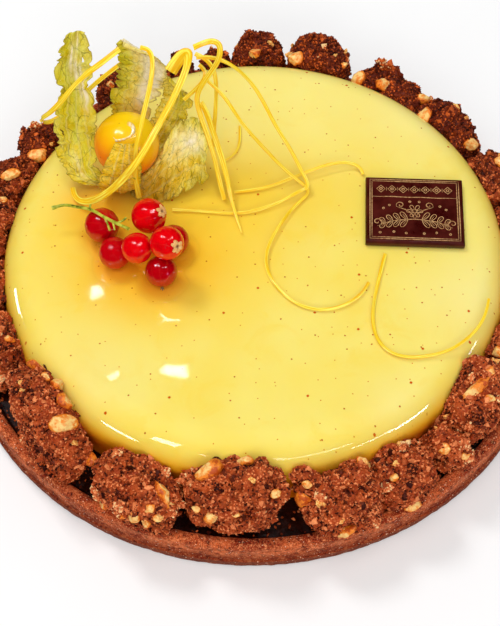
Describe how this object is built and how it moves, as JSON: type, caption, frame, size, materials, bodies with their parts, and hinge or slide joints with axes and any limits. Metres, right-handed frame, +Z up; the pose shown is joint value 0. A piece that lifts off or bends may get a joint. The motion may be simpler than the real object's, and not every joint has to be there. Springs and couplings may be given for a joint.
{
  "type": "glazed chocolate tart",
  "caption": "Round chocolate tart: a low shortcrust shell holding a glazed cake dome, ringed with nut crumble and topped with redcurrants, a husked physalis, curled ribbons and a plaque.",
  "frame": {"origin": "centre of the flat underside of the crust, on the surface that the tart rests on", "axes": "+Z up through the tart, -Y towards its front, +X to its right as seen from the front, where the plaque lies"},
  "size_m": [0.18, 0.18, 0.0745],
  "materials": {
    "crust": "baked, fine grained",
    "filling": "soft chocolate",
    "glaze": "mirror glaze",
    "crumble": "rough crumb with nut bits",
    "redcurrant": "translucent, glossy",
    "stem": "smooth green stalk",
    "physalis": "waxy, glossy",
    "husk": "dry, veined",
    "ribbon": "satin",
    "plaque": "tempered dark chocolate with gold ornament"
  },
  "bodies": {
    "root": {"crust_shell": "crust", "chocolate_filling": "filling", "glazed_dome": "glaze", "crumble_piece_01": "crumble", "crumble_piece_02": "crumble", "crumble_piece_03": "crumble", "crumble_piece_04": "crumble", "crumble_piece_05": "crumble", "crumble_piece_06": "crumble", "crumble_piece_07": "crumble", "crumble_piece_08": "crumble", "crumble_piece_09": "crumble", "crumble_piece_10": "crumble", "crumble_piece_11": "crumble", "crumble_piece_12": "crumble", "crumble_piece_13": "crumble", "crumble_piece_14": "crumble", "crumble_piece_15": "crumble", "crumble_piece_16": "crumble", "crumble_piece_17": "crumble", "crumble_piece_18": "crumble", "crumble_piece_19": "crumble", "crumble_piece_20": "crumble", "crumble_piece_21": "crumble", "crumble_piece_22": "crumble", "crumble_piece_23": "crumble", "crumble_piece_24": "crumble", "redcurrant_top": "redcurrant", "redcurrant_right_front": "redcurrant", "redcurrant_right_behind": "redcurrant", "redcurrant_centre": "redcurrant", "redcurrant_left_bottom": "redcurrant", "redcurrant_bottom": "redcurrant", "redcurrant_left_top": "redcurrant", "currant_stem": "stem", "physalis_berry": "physalis", "physalis_husk": "husk", "ribbon_top_loop": "ribbon", "ribbon_inner_drop": "ribbon", "ribbon_long_tail": "ribbon", "ribbon_long_arc": "ribbon", "ribbon_spiral": "ribbon", "ribbon_low_arc": "ribbon", "ribbon_front_curl": "ribbon", "ribbon_thin_hook": "ribbon", "ribbon_broad_fall": "ribbon", "ribbon_middle_fall": "ribbon", "ribbon_left_loop": "ribbon", "ribbon_cross_curl": "ribbon", "chocolate_plaque": "plaque"}
  },
  "joints": []
}
